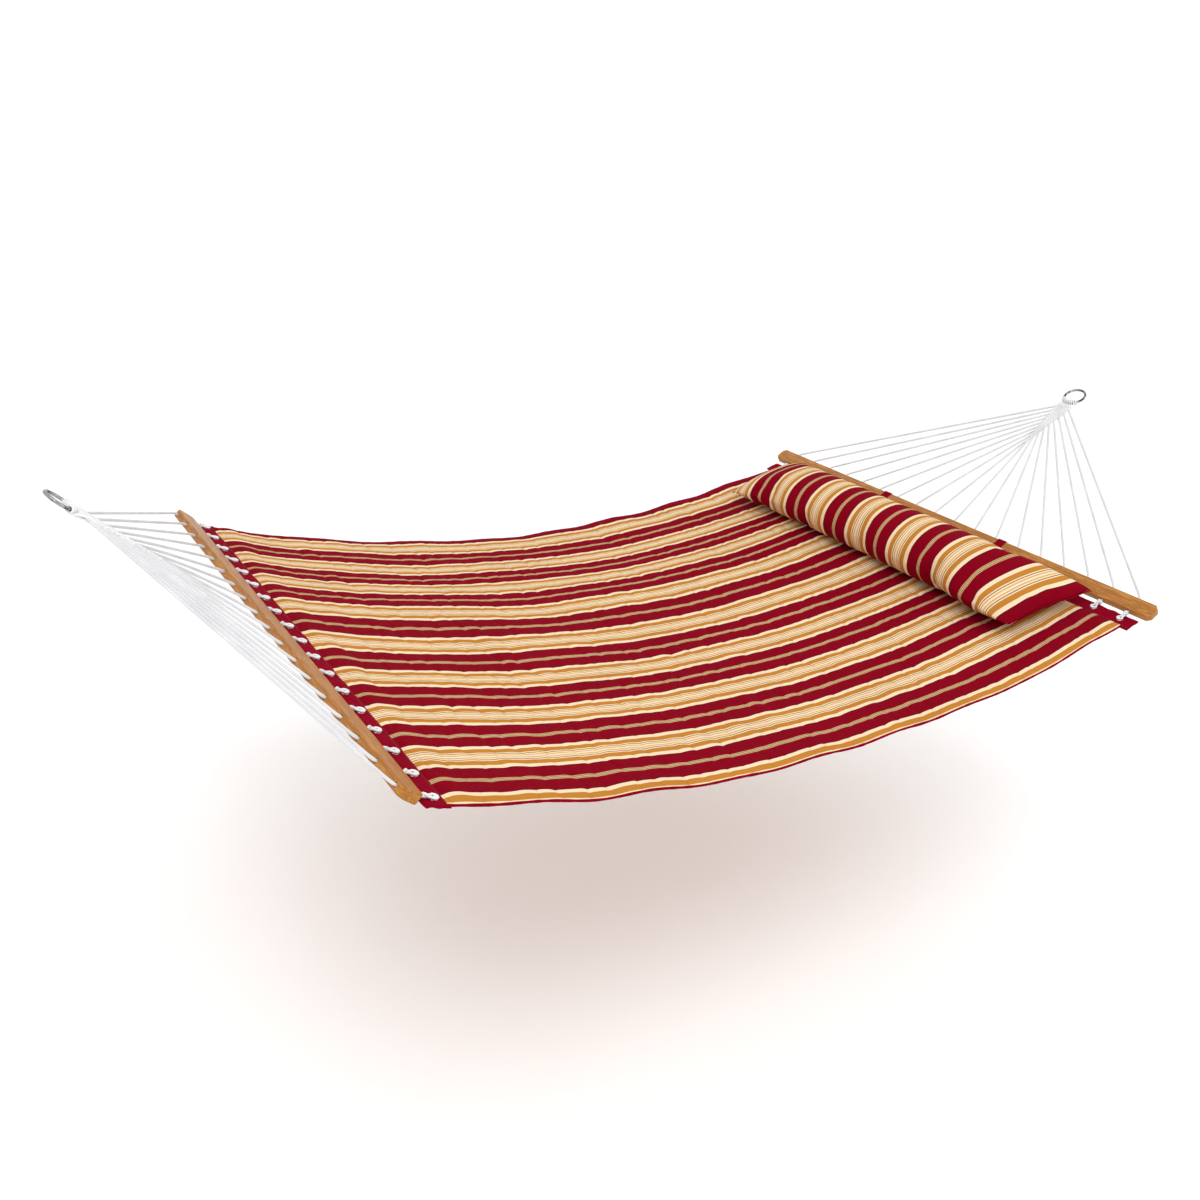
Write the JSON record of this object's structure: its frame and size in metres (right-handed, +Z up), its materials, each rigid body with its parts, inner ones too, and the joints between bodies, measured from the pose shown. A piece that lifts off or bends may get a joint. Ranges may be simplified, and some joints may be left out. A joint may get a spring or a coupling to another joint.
{
  "type": "quilted hammock with spreader bars",
  "caption": "Quilted striped-fabric garden hammock with wooden spreader bars, rope harnesses, steel hanging rings and a flip-over pillow.",
  "frame": {"origin": "midway between the two hanging points, where the harness cords turn round the steel rings", "axes": "+X along the length from the foot end to the pillow end, +Z up, +Y across to the left of someone who looks towards the pillow end"},
  "size_m": [3.0243, 1.44, 0.5353],
  "materials": {
    "rope": "white twisted polyester rope, matte",
    "steel": "bright plated steel wire ring",
    "wood": "oiled light hardwood with a satin varnish",
    "striped_fabric": "woven outdoor fabric striped in deep red, gold, cream and khaki",
    "red_fabric": "plain deep red woven outdoor fabric",
    "batting": "white polyester wadding, hidden inside"
  },
  "bodies": {
    "rings": {"foot_ring": "steel", "foot_ring_turns": "rope", "head_ring": "steel", "head_ring_turns": "rope"},
    "hammock": {"foot_clew": "rope", "foot_spreader_bar": "wood", "foot_hem": "red_fabric", "foot_cord_01": "rope", "foot_cord_02": "rope", "foot_cord_03": "rope", "foot_cord_04": "rope", "foot_cord_05": "rope", "foot_cord_06": "rope", "foot_cord_07": "rope", "foot_cord_08": "rope", "foot_cord_09": "rope", "foot_cord_10": "rope", "foot_cord_11": "rope", "foot_cord_12": "rope", "foot_cord_13": "rope", "foot_cord_14": "rope", "foot_cord_15": "rope", "foot_cord_16": "rope", "foot_cord_17": "rope", "foot_cord_18": "rope", "head_clew": "rope", "head_spreader_bar": "wood", "head_hem": "red_fabric", "head_cord_01": "rope", "head_cord_02": "rope", "head_cord_03": "rope", "head_cord_04": "rope", "head_cord_05": "rope", "head_cord_06": "rope", "head_cord_07": "rope", "head_cord_08": "rope", "head_cord_09": "rope", "head_cord_10": "rope", "head_cord_11": "rope", "head_cord_12": "rope", "head_cord_13": "rope", "head_cord_14": "rope", "head_cord_15": "rope", "head_cord_16": "rope", "head_cord_17": "rope", "head_cord_18": "rope", "bed_top_fabric": "striped_fabric", "bed_batting": "batting", "bed_bottom_fabric": "striped_fabric", "near_piping": "red_fabric", "far_piping": "red_fabric", "near_strap_loop": "red_fabric", "far_strap_loop": "red_fabric"},
    "pillow": {"pillow_cover": "striped_fabric", "pillow_filling": "batting", "near_strap_tongue": "red_fabric", "far_strap_tongue": "red_fabric"}
  },
  "joints": [
    {"name": "swing", "type": "hinge", "parent": "rings", "child": "hammock", "pos_m": [0, 0, 0], "axis": [1, 0, 0], "range_deg": [-30, 30]},
    {"name": "pillow_flip", "type": "hinge", "parent": "hammock", "child": "pillow", "pos_m": [0.9211, 0, -0.3448], "axis": [0, 1, 0], "range_deg": [0, 90]}
  ]
}
